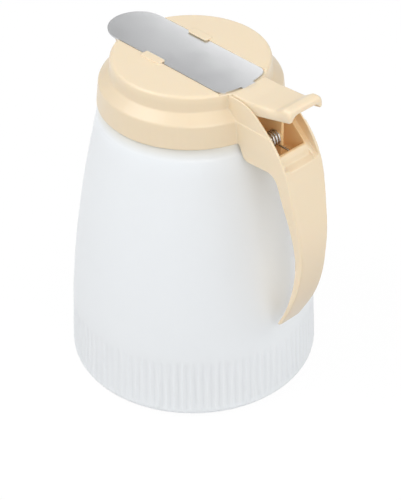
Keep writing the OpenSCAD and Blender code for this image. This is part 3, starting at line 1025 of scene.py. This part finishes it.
@dataclass
class MouldedTop(Part):
    """The cream screw top, whose edges are eased as a mould leaves them."""

    node: str = "screw_top"
    cell: float = 0.24
    rounds: int = 2
    most_triangles: int = 195_000
    grip_rounds: int = 70
    grip_z: Span = (104.0, 150.0)
    grip_band: float = 6.0
    grip_slice: float = 0.5
    tab_z: float = 172.3
    tab_low_z: float = 172.16
    tab_top_z: float = 172.96
    tab_h: float = 1.1
    tab_over_w: float = 15.05
    # Bounds of the masks for painted shade and painted glow
    pocket_x: Span = (36.0, 68.0)
    pocket_z: Span = (143.0, 168.0)
    pocket_half_w: float = 8.5
    rebate_half_w: float = 11.0
    grip_fade_z: Span = (50.0, 130.0)
    deck_fade_z: Span = (167.5, 171.5)
    collar_fade_r: Span = (45.5, 49.0)
    facing: Span = (0.55, 0.9)

    def build(self, node: Piece) -> Piece:
        """Eases every edge of a copy of the solid.

        The copy is merged and turned into even cells. Each point then moves towards the mean of
        its neighbours a few times, which leaves flats alone and rounds edges by about a cell. The
        outer side of the grip is eased many times more, for the round edges that a hand feels.

        Args:
            node: The CAD node to copy.

        Returns:
            The piece.
        """
        work = bmesh.new()
        work.from_mesh(node.data)
        bmesh.ops.remove_doubles(work, verts=work.verts, dist=1e-7)
        mesh = bpy.data.meshes.new("top_with_handle")
        work.to_mesh(mesh)
        work.free()
        piece = link_object("top_with_handle", mesh)
        cells = piece.modifiers.new("cells", "REMESH")
        cells.mode = "VOXEL"
        cells.voxel_size = self.cell * MM
        count = apply_modifiers(piece)
        self._ease(piece.data)
        thin = piece.modifiers.new("thin", "DECIMATE")
        thin.ratio = min(1.0, self.most_triangles / count)
        apply_modifiers(piece)
        piece.data.shade_smooth()
        # Masks for the painted shade and painted glow of the cream finish
        self._mark_pocket(piece.data)
        self._mark_painted_shade(piece.data)
        return self.shop.dress(piece, self.shop.finishes.cream, Slot.CREAM, Body.TOP, self.node)

    def _ease(self, mesh: Mesh) -> None:
        """Moves each point p to p + f (mean of neighbours - p) / 2, f being 1 or the grip's share.

        The keeper tabs, the only part above the deck, are flattened and brought near the blade.

        Args:
            mesh: The mesh to ease.
        """
        points = (read_points(mesh) * MM).T.copy()
        ends = np.empty(len(mesh.edges) * 2, dtype=np.int64)
        mesh.edges.foreach_get("vertices", ends)
        pairs = ends.reshape(-1, 2)
        for _ in range(self.rounds):
            points += 0.5 * self._pull(points, pairs)
        low = np.where(np.abs(points[1]) < self.tab_over_w * MM, self.tab_low_z, self.tab_z)
        over = points[2] / MM - self.tab_z
        flat = low + np.maximum(over, 0.0) * (self.tab_top_z - low) / self.tab_h
        points[2] = np.where(over > -0.05, flat * MM, points[2])
        share = self._grip_share(points.T / MM)
        pairs = pairs[(share[pairs] > 0).any(axis=1)]
        near = np.unique(pairs)
        number = np.full(len(share), -1)
        number[near] = np.arange(len(near))
        part, pairs = points[:, near], number[pairs]
        for _ in range(self.grip_rounds):
            part += 0.5 * share[near] * self._pull(part, pairs)
        points[:, near] = part
        mesh.vertices.foreach_set("co", points.T.ravel())
        mesh.update()

    @staticmethod
    def _pull(points: Floats, pairs: Ints) -> Floats:
        """How far each point is from the mean of its neighbours.

        Args:
            points: Points of shape (3, count).
            pairs: Two point numbers for each edge.

        Returns:
            The way to the mean, of the same shape.
        """
        count = points.shape[1]
        first, second = pairs.T
        degree = np.bincount(pairs.ravel(), minlength=count)
        total = [
            np.bincount(first, line[second], count) + np.bincount(second, line[first], count)
            for line in points
        ]
        return np.stack(total) / np.maximum(degree, 1) - points

    def _grip_share(self, points: Floats) -> Floats:
        """Share of the grip's easing: full on its outer side, fading inwards and to the box.

        Args:
            points: Points in millimetres.

        Returns:
            The share at each point.
        """
        level = np.clip((points[:, 2] / self.grip_slice).astype(int), 0, 399)
        back = np.zeros(400)
        np.maximum.at(back, level, points[:, 0])
        band = smoothstep(points[:, 0] - back[level], -self.grip_band, 0.4 - self.grip_band / 2)
        return band * (1.0 - smoothstep(points[:, 2], *self.grip_z))

    def _mark_pocket(self, mesh: Mesh) -> None:
        """Writes how deep in the spring's pocket each point lies, for the painted warm shade and painted
        glow there.

        Args:
            mesh: The mesh to mark.
        """
        x, y, z = read_points(mesh).T
        (front, rear), (low, high) = self.pocket_x, self.pocket_z
        inside = smoothstep(x, front, front + 1.0) * (1.0 - smoothstep(x, rear - 3.0, rear))
        inside *= (1.0 - smoothstep(z, high - 6.0, high)) * smoothstep(z, low - 0.4, low)
        side, deep, wide = np.abs(y), self.pocket_half_w, self.rebate_half_w
        deep_share = 1.0 - smoothstep(side, deep, deep + 0.3)
        wide_share = 0.75 * (1.0 - smoothstep(side, wide, wide + 0.2))
        write_mask(mesh, "pocket_shade_and_glow", inside * np.maximum(wide_share, deep_share))

    def _mark_painted_shade(self, mesh: Mesh) -> None:
        """Writes where painted shade darkens the plastic: collar, deck's side, the grip's lower back.

        Args:
            mesh: The mesh to mark.
        """
        x, y, z = read_points(mesh).T
        below = 1.0 - smoothstep(z, *self.deck_fade_z)
        below *= 1.0 - smoothstep(np.hypot(x, y), *self.collar_fade_r)
        write_mask(mesh, "below_deck_shade", below)
        # Painted shade on the outward-facing back of the grip, darker towards its lower end
        facing = np.empty(len(mesh.vertices) * 3)
        mesh.vertex_normals.foreach_get("vector", facing)
        outer = smoothstep(facing[::3], *self.facing) * (x > self.collar_fade_r[1])
        write_mask(mesh, "grip_end_shade", outer * (1.0 - smoothstep(z, *self.grip_fade_z)))


@dataclass
class Blade(Part):
    """The steel cut-off blade: a rolled plate with a round nose, a rear tongue and a hook."""

    half_w: float = 14.78
    thick: float = 0.8
    top_z: float = 172.1
    nose_x: float = -51.39
    rear_r: float = 37.39
    corner_r: float = 5.0
    tongue_half_w: float = 3.7
    tongue_x: float = 40.59
    hook_half_w: float = 2.9
    hook_front_x: float = 38.39
    hook_low_z: float = 168.5
    edge: float = 0.12
    crown: float = 0.03
    rows: int = 60

    def lanes(self) -> Floats:
        """Places across the plate, close together at its edges and doubled at the tongue's sides.

        Returns:
            The places in rising order.
        """
        even = self.half_w * np.sin(np.linspace(-np.pi / 2, np.pi / 2, 61))
        even = even[np.abs(np.abs(even) - self.tongue_half_w) > 0.3]
        step = self.tongue_half_w + np.array([0.0, 0.02])
        return np.sort(np.concatenate([even, step, -step]))

    def front(self, lane: Floats) -> Floats:
        """Where the round nose starts: its centre minus sqrt(half_w^2 - y^2)."""
        return self.nose_x + self.half_w - np.sqrt(np.maximum(self.half_w**2 - lane**2, 0.0))

    def rear(self, lane: Floats) -> Floats:
        """Where the plate ends: the rear arc, the corner arcs that touch it, or the tongue.

        Args:
            lane: Places across the plate.

        Returns:
            The end at each place.
        """
        straight = self.half_w - self.corner_r
        lean = math.asin(straight / (self.rear_r - self.corner_r))
        touch = self.rear_r * math.sin(lean)
        over = np.clip(np.abs(lane) - straight, 0.0, self.corner_r)
        corner = straight / math.tan(lean) + np.sqrt(np.maximum(self.corner_r**2 - over**2, 0.0))
        plate = np.where(np.abs(lane) < touch, np.sqrt(self.rear_r**2 - lane**2), corner)
        return np.where(np.abs(lane) <= self.tongue_half_w + 0.001, self.tongue_x, plate)

    def build(self) -> Piece:
        """Makes the plate, x = front(y) + v (rear(y) - front(y)), closed round its edge.

        Its top bows down by crown (y / half_w)^2, as rolled strip does towards its edges.

        Returns:
            The piece.
        """
        lane = self.lanes()
        front, rear = self.front(lane)[:, None], self.rear(lane)[:, None]
        along = front + np.linspace(0.0, 1.0, self.rows)[None] * (rear - front)
        across = np.broadcast_to(lane[:, None], along.shape)
        top = self.top_z - self.crown * (across / self.half_w) ** 2
        low = np.full_like(along, self.top_z - self.thick)
        points = np.stack([np.stack([along, across, z], axis=-1) for z in (top, low)])
        count, rows = along.shape
        quads = grid_quads(count, rows, wrap_columns=False)
        sides = [
            np.arange(count) * rows,
            (count - 1) * rows + np.arange(1, rows),
            np.arange(count - 2, -1, -1) * rows + rows - 1,
            np.arange(rows - 2, 0, -1),
        ]
        edge = np.concatenate(sides)
        rim = np.stack([edge, np.roll(edge, -1)], axis=1)
        walls = np.concatenate([rim, rim[:, ::-1] + count * rows], axis=1)
        shell = Shell().add(points, np.concatenate([quads, quads + count * rows, walls]))
        piece = shell.loft(self._hook()).piece("cut_off_blade", weld=4e-6, sharp_deg=35.0)
        bevel = piece.modifiers.new("edge", "BEVEL")
        bevel.width = self.edge * MM
        bevel.segments = 2
        bevel.limit_method = "ANGLE"
        bevel.angle_limit = math.radians(50)
        return self.shop.dress(piece, self.shop.finishes.blade, Slot.BLADE, Body.SLIDE, "cutoff_blade")

    def _hook(self) -> Floats:
        """The tongue's turned-down end: a strip carried round a quarter turn and down.

        Returns:
            Points of shape (along, 4, 3).
        """
        middle_x, middle_z = self.tongue_x - self.thick / 2, self.top_z - self.thick / 2
        corners = [
            (self.hook_front_x, middle_z, 0),
            (middle_x, middle_z, self.thick * 0.9),
            (middle_x, self.hook_low_z, 0),
        ]
        path = round_corners(corners, steps=8)
        ahead = unit(np.gradient(path, axis=0))
        normal = np.stack([-ahead[:, 1], ahead[:, 0]], axis=1) * (self.thick / 2 - 0.02)
        half = self.hook_half_w
        lines = [
            np.stack([line[:, 0], np.full(len(path), side), line[:, 1]], axis=1)
            for line, sides in ((path + normal, (-half, half)), (path - normal, (half, -half)))
            for side in sides
        ]
        return np.stack(lines, axis=1)


@dataclass
class ThumbPiece(Part):
    """The cream thumb piece: an arched plate with side skirts that rises to a rounded lip."""

    front_x: float = 38.59
    rear_x: float = 74.29
    half_w: float = 10.7
    deck_z: float = 172.2
    slope: Span = (26.06, 2.24)
    lip_x: float = 31.06
    lip_z: float = 177.8
    plate: float = 2.0
    skirt: float = 1.55
    skirt_z: float = 167.0
    arch_r: float = 4.0
    edge_front_r: float = 0.8
    edge_rear_r: float = 2.4
    end_r: float = 1.25
    tongue_half_w: float = 3.9
    tongue_x: float = 40.79
    tongue_z: float = 171.2
    skin: float = 0.05
    hook_half_w: float = 3.0
    hook_front_x: float = 39.69
    lug_x: Span = (41.2, 42.9)
    lug_half_w: float = 8.25
    rows: int = 150
    sharp_deg: float = 50.0

    def _line(self, x: Floats, corners: Sequence[Corner]) -> Floats:
        """Height at each place of a line through rounded corners, just inside upright ends.

        Args:
            x: Places along the piece.
            corners: The line's corners, their places measured from the front.

        Returns:
            The height at each place.
        """
        line = round_corners([(self.front_x + along, *rest) for along, *rest in corners], steps=14)
        inside = np.clip(x, self.front_x + 1e-4, self.rear_x - 1e-4)
        return np.interp(inside, line[:, 0], line[:, 1])

    def heights(self, x: Floats) -> tuple[Floats, ...]:
        """Heights along the piece: the plate's top, its underside and the skirts' lower edge.

        The top is level, rises slowly and slopes up to the lip with its round end, the underside
        turns up to meet that end, and the lower edge is level, then rises to the rear.

        Args:
            x: Places along the piece.

        Returns:
            The three heights at each place.
        """
        deck, lip, end = self.deck_z, self.lip_z, self.rear_x - self.front_x
        slope_x, slope_h = self.slope
        low, foot = deck - self.plate, self.skirt_z
        top = [
            (0, deck - 3.0, 0), (0, deck, 0.5), (10.0, deck, 35.7), (slope_x, deck + slope_h, 4.0),
            (self.lip_x, lip, 2.4), (end, lip, 2.3), (end, deck, 0),
        ]
        under = [
            (0, low, 0), (14.28, low, 10.0), (slope_x, low + slope_h, 4.0),
            (self.lip_x, lip - 3.0, 1.5), (end, lip - 3.0, 0.7), (end, lip, 0),
        ]
        edge = [
            (0, foot + 4.0, 0), (0, foot, 1.0), (14.99, foot, 8.9), (end, deck, 0.8),
            (end, deck + 3.0, 0),
        ]
        return tuple(self._line(x, corners) for corners in (top, under, edge))

    @staticmethod
    def _half(half: Floats, level: Floats, radius: Floats, low: Floats, foot: Floats) -> Floats:
        """Half of one loop of the section: foot, wall, corner arc (r cos t, r sin t) and level top.

        Args:
            half: Half width at each place.
            level: Height of the level part.
            radius: Radius of the corner arc, which the foot may cut short.
            low: Height of the lower edge.
            foot: Rounding of the lower edge, negative where it leans outwards.

        Returns:
            Points of shape (places, section points, 2) from the foot to the middle.
        """
        half, level, radius, low, foot = (part[:, None] for part in (half, level, radius, low, foot))
        rise = np.abs(foot)
        cut = np.arcsin(np.clip((low + rise - level + radius) / radius, 0.0, 0.95))
        turn = cut + (np.pi / 2 - cut) * np.linspace(0.0, 1.0, 10)[None]
        y = half - radius + radius * np.cos(turn)
        z = level - radius + radius * np.sin(turn)
        flat = (half - radius) * np.array([[0.66, 0.33, 0.0]])
        across = np.concatenate([y[:, :1] - foot, y[:, :1], y, flat], axis=1)
        return np.stack([across, np.concatenate([low, low + rise, z, level + 0 * flat], axis=1)], axis=-1)

    def section(self, x: Floats) -> Floats:
        """Closed section at each place: over the outside and back along the inside.

        Both walls turn towards each other near the rear, so the end comes out rounded.

        Args:
            x: Places along the piece.

        Returns:
            Points of shape (places, section points, 3).
        """
        past = np.clip(x - self.rear_x + self.end_r, 0.0, self.end_r)
        outer_w = self.half_w - self.end_r + np.sqrt(self.end_r**2 - past**2)
        turn_r = self.skirt - self.end_r
        past = np.clip(x - self.rear_x + turn_r, 0.0, turn_r)
        inner_w = self.half_w - self.skirt + turn_r - np.sqrt(turn_r**2 - past**2)
        foot = np.minimum(0.3, 0.45 * (outer_w - inner_w)) + 1e-3
        share = smoothstep(x, self.front_x + 12.0, self.front_x + 26.0)
        edge = self.edge_front_r + (self.edge_rear_r - self.edge_front_r) * share
        bend = 0.6 + (self.arch_r - 0.6) * smoothstep(x, self.front_x + 16.0, self.front_x + 31.0)
        top, under, low = self.heights(x)
        halves = (
            self._half(outer_w, top, edge, low, foot), self._half(inner_w, under, bend, low, -foot)
        )
        outer, inner = (
            np.concatenate([half, half[:, -2::-1] * [-1.0, 1.0]], axis=1) for half in halves
        )
        closed = np.concatenate([outer, inner[:, ::-1]], axis=1)
        place = np.broadcast_to(x[:, None, None], (*closed.shape[:2], 1))
        return np.concatenate([place, closed], axis=-1)

    def build(self) -> Piece:
        """Carries the section along X, closes both ends, adds the cross rib and cuts the seat.

        Returns:
            The piece.
        """
        ends = (1.0 - np.cos(np.linspace(0.0, np.pi, self.rows))) / 2.0
        points = self.section(self.front_x + (self.rear_x - self.front_x) * ends)
        columns = points.shape[1]
        lane = np.arange(columns // 2 - 1)
        strip = np.stack([lane, lane + 1, columns - 2 - lane, columns - 1 - lane], axis=1)
        quads = [grid_quads(self.rows, columns), strip, strip + (self.rows - 1) * columns]
        shell = Shell().add(points, np.concatenate(quads)).loft(self._lug())
        piece = shell.piece("thumb_piece", weld=2e-6, sharp_deg=self.sharp_deg)
        top, hook = self.deck_z - self.skin, self.hook_front_x
        self._cut(piece, (self.front_x - 1.0, self.tongue_x), self.tongue_half_w, (self.tongue_z, top))
        self._cut(piece, (hook, hook + 1.0), self.hook_half_w, (self.skirt_z, top))
        return self.shop.dress(piece, self.shop.finishes.cream, Slot.CREAM, Body.SLIDE, "thumb_slide")

    def _cut(self, piece: Piece, along: Span, half_w: float, height: Span) -> None:
        """Cuts a block out of the piece, as the tool leaves the blade's seat and the hook's slot.

        Args:
            piece: The piece to cut.
            along: Ends of the block in X.
            half_w: Its half width in Y.
            height: Its lower and upper ends.
        """
        corners = [[x, y, z] for x in along for y in (-half_w, half_w) for z in height]
        faces = [[0, 1, 3, 2], [4, 6, 7, 5], [0, 4, 5, 1], [2, 3, 7, 6], [0, 2, 6, 4], [1, 5, 7, 3]]
        tool = Shell().add(np.array(corners), np.array(faces)).piece("seat_tool")
        cut = piece.modifiers.new("seat", "BOOLEAN")
        cut.operation = "DIFFERENCE"
        cut.solver = "EXACT"
        cut.use_self = True
        cut.object = tool
        apply_modifiers(piece)
        bpy.data.meshes.remove(tool.data)
        piece.data.set_sharp_from_angle(angle=math.radians(self.sharp_deg))

    def _lug(self) -> Floats:
        """The cross rib that the spring pushes on, a block with rounded lower edges.

        Returns:
            Points of shape (2, round, 3).
        """
        (front, rear), low, high = self.lug_x, self.skirt_z, self.deck_z - self.plate / 2
        corners = [(front, low, 0.4), (rear, low, 0.4), (rear, high, 0), (front, high, 0)]
        x, z = round_corners(corners, steps=4, closed=True).T
        sides = (-self.lug_half_w, self.lug_half_w)
        return np.stack([np.stack([x, np.full_like(x, side), z], axis=1) for side in sides])


@dataclass
class ReturnSpring(Part):
    """The torsion spring in the handle's pocket: a fixed leg, a coil and a pushing leg."""

    wire: float = 1.1
    coil_r: float = 3.6
    axis_x: float = 56.32
    axis_z: float = 152.67
    first_y: float = -0.25
    pitch: float = 1.7
    turns: int = 4
    slant_deg: float = 27.0
    fixed_x: float = 65.11
    leg_top_z: float = 169.1
    cut_share: float = 0.72
    sides: int = 14

    def path(self) -> Floats:
        """Centre line: the coil is (axis - r sin a, first_y - pitch a, axis - r cos a).

        Returns:
            Its points from the fixed leg's end to the pushing leg's.
        """
        sweep = 360.0 * self.turns + 90.0 - self.slant_deg
        angle = np.radians(np.linspace(0.0, sweep, 40 * self.turns))
        x = self.axis_x - self.coil_r * np.sin(angle)
        y = self.first_y - self.pitch * angle / (2 * np.pi)
        coil = np.stack([x, y, self.axis_z - self.coil_r * np.cos(angle)], axis=1)
        away = np.linspace(self.fixed_x - self.axis_x, 0.0, 8, endpoint=False)[:, None]
        fixed = coil[0] + away * np.array([1.0, 0.0, 0.0])
        rise = np.linspace(0.0, self.leg_top_z - coil[-1, 2], 26)[1:, None]
        leg = coil[-1] + rise * np.array([-math.tan(math.radians(self.slant_deg)), 0.0, 1.0])
        return np.concatenate([fixed, coil, leg])

    def build(self) -> Piece:
        """Makes the wire, with its coil and its pushing leg; it rides on no body.

        Returns:
            The piece.
        """
        path = self.path()
        radius = self.wire / 2 * np.array([self.cut_share, *np.ones(len(path) - 2), self.cut_share])
        piece = Shell().loft(tube(path, radius, self.sides)).piece("spring_wire", sharp_deg=60.0)
        self.shop.dress(piece, self.shop.finishes.wire, Slot.SPRING, None, "return_spring")
        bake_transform(piece)
        return piece


# Studio


def stand(made: Piece, axes: Sequence[Sequence[float]], spot: Sequence[float]) -> None:
    """Puts an object at a spot with its own X, Y and Z along three axes."""
    turned = Matrix(axes).transposed().to_4x4()
    made.matrix_world = Matrix.Translation(Vector(spot)) @ turned


@dataclass
class Studio:
    """Camera at the photograph's angle, soft lamps, pale floor and white surround."""

    lens_mm: float = 122.6
    sensor_mm: float = 36.0
    azimuth_deg: float = 46.5
    elevation_deg: float = 37.108
    roll_deg: float = -0.487
    distance: float = 0.8654
    target: tuple[float, float, float] = (0.00277, 0.00259, 0.05738)
    surround: float = 0.565
    floor_r: float = 3.0
    floor_drop: float = 0.0003
    floor_white: float = 0.93
    floor_glow: float = 1.03
    floor_shade: float = 0.65
    lamp_aim: tuple[float, float, float] = (0.0, 0.0, 0.09)
    blade_z: float = 0.1721
    card_power: float = 0.15
    card_away: float = 0.30
    card_size: Span = (0.22, 0.12)
    card_line: tuple[Corner, Corner] = ((-0.045, 0.0255, 0.0), (0.030, 0.020, 0.0))

    def camera(self) -> None:
        """Sets the camera from its angles: it looks along -back and is rolled about that line."""
        azimuth, elevation = math.radians(self.azimuth_deg), math.radians(self.elevation_deg)
        roll = math.radians(self.roll_deg)
        level = Vector((math.cos(azimuth), math.sin(azimuth), 0.0))
        away = Vector((math.sin(azimuth), -math.cos(azimuth), 0.0))
        back = math.cos(elevation) * away + Vector((0.0, 0.0, math.sin(elevation)))
        rise = back.cross(level)
        right = math.cos(roll) * level + math.sin(roll) * rise
        up = math.cos(roll) * rise - math.sin(roll) * level
        data = bpy.data.cameras.new("camera")
        data.lens = self.lens_mm
        data.sensor_width = self.sensor_mm
        data.clip_end = 50.0
        made = link_object("camera", data)
        stand(made, (right, up, back), Vector(self.target) + back * self.distance)
        bpy.context.scene.camera = made

    @staticmethod
    def _finish(tree: Tree, share: Socket, plain: Node, seen: Node, end: str) -> None:
        """Ends a tree with a mix of two shaders.

        Args:
            tree: The tree.
            share: Socket with the share of the second.
            plain: The first shader.
            seen: The second shader.
            end: Type of the node that ends the tree.
        """
        mix = add_node(tree, "MixShader")
        for number, source in enumerate((share, plain.outputs[0], seen.outputs[0])):
            tree.links.new(source, mix.inputs[number])
        tree.links.new(mix.outputs[0], add_node(tree, end).inputs["Surface"])

    def world(self) -> None:
        """Sets an even white surround that lights the object softly and is seen as white."""
        world = bpy.data.worlds.new("surround")
        bpy.context.scene.world = world
        world.use_nodes = True
        tree = world.node_tree
        tree.nodes.clear()
        light = add_node(tree, "Background", {"Color": WHITE, "Strength": self.surround})
        seen = add_node(tree, "Background", {"Color": WHITE, "Strength": 1.0})
        share = add_node(tree, "LightPath").outputs["Is Camera Ray"]
        self._finish(tree, share, light, seen, "OutputWorld")

    def floor(self) -> None:
        """Lays a pale round floor that is seen and mirrored near white and takes the shadow."""
        ring = full_turn(96)
        points = np.stack([np.cos(ring), np.sin(ring), 0 * ring], axis=1) * self.floor_r
        mesh = bpy.data.meshes.new("floor")
        mesh.from_pydata(points.tolist(), [], [list(range(len(ring)))])
        made = link_object("floor", mesh)
        made.location.z = -self.floor_drop
        paint = bpy.data.materials.new("white_floor")
        paint.use_nodes = True
        tree = paint.node_tree
        tree.nodes.clear()
        matt = add_node(tree, "BsdfDiffuse", {"Color": (*[self.floor_shade] * 3, 1.0)})
        glow = add_node(tree, "Emission", {"Strength": self.floor_glow})
        rays = add_node(tree, "LightPath").outputs
        seen = add_node(tree, "Math", operation="MAXIMUM")
        share = add_node(tree, "Math", {1: self.floor_white}, operation="MULTIPLY")
        tree.links.new(rays["Is Camera Ray"], seen.inputs[0])
        tree.links.new(rays["Is Glossy Ray"], seen.inputs[1])
        tree.links.new(seen.outputs[0], share.inputs[0])
        self._finish(tree, share.outputs[0], matt, glow, "OutputMaterial")
        mesh.materials.append(paint)

    @staticmethod
    def _panel(name: str, size: Span, power: float) -> Piece:
        """Makes a soft lamp.

        Args:
            name: Name of the lamp.
            size: Length and width in metres.
            power: Its power in watts.

        Returns:
            The lamp, at the origin.
        """
        data = bpy.data.lights.new(name, "AREA")
        data.shape = "RECTANGLE"
        data.size, data.size_y = size
        data.energy = power
        return link_object(name, data)

    def lamp(self, name: str, spot: Sequence[float], side: float, power: float) -> None:
        """Hangs a square soft lamp that points at the middle of the object.

        Args:
            name: Name of the lamp.
            spot: Where it hangs, in metres.
            side: Length of its sides.
            power: Its power in watts.
        """
        made = self._panel(name, (side, side), power)
        made.location = spot
        aim = Vector(self.lamp_aim) - Vector(spot)
        made.rotation_euler = aim.to_track_quat("-Z", "Y").to_euler()

    def card(self, blade: Piece) -> None:
        """Hangs a small lamp for the blade alone, whose near edge it mirrors along a line.

        The spots of that line, given on the blade, are mirrored from the camera to the card's
        plane; the card starts at the line that joins them and lies on its +Y side.

        Args:
            blade: The piece that it lights.
        """
        eye = np.array(bpy.context.scene.camera.matrix_world.translation)
        middle = np.array([0.0, 0.0, self.blade_z])
        flip = np.array([1.0, 1.0, -1.0])
        ahead = unit(middle - eye) * flip
        ends = []
        for spot in self.card_line:
            place = np.array(spot) + middle
            ray = (place - eye) * flip
            ends.append(place + ray * (self.card_away - (place - middle) @ ahead) / (ray @ ahead))
        along = unit(ends[1] - ends[0])
        inwards = np.cross(ahead, along)
        centre = (ends[0] + ends[1]) / 2 + inwards * self.card_size[1] / 2
        made = self._panel("card", self.card_size, self.card_power)
        stand(made, (along, inwards, ahead), centre)
        lit = bpy.data.collections.new("lit_by_card")
        lit.objects.link(blade)
        made.light_linking.receiver_collection = lit

    def build(self) -> None:
        """Sets up the whole studio but for the blade's card."""
        self.camera()
        self.world()
        self.floor()
        self.lamp("key", (-0.5, -0.9, 1.3), 0.9, 10.2)
        self.lamp("rear", (0.9, 0.7, 1.1), 0.7, 3.8)
        self.lamp("side", (1.15, -0.5, 0.85), 1.0, 6.4)


def main() -> None:
    """Builds the studio and every piece; each piece's face count is logged as it is dressed."""
    logging.basicConfig(level=logging.INFO, format="%(name)s: %(message)s")
    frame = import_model()
    studio = Studio()
    studio.build()
    shop = Workshop(Finishes(), NodeGroups())
    Jar(shop).build()
    ScrewThread(shop).build()
    SealRing(shop).build()
    MouldedTop(shop).build(frame["nodes"]["screw_top"])
    studio.card(Blade(shop).build())
    ThumbPiece(shop).build()
    ReturnSpring(shop).build()
    bpy.context.scene.view_settings.view_transform = "Standard"


if __name__ == "__main__":
    main()
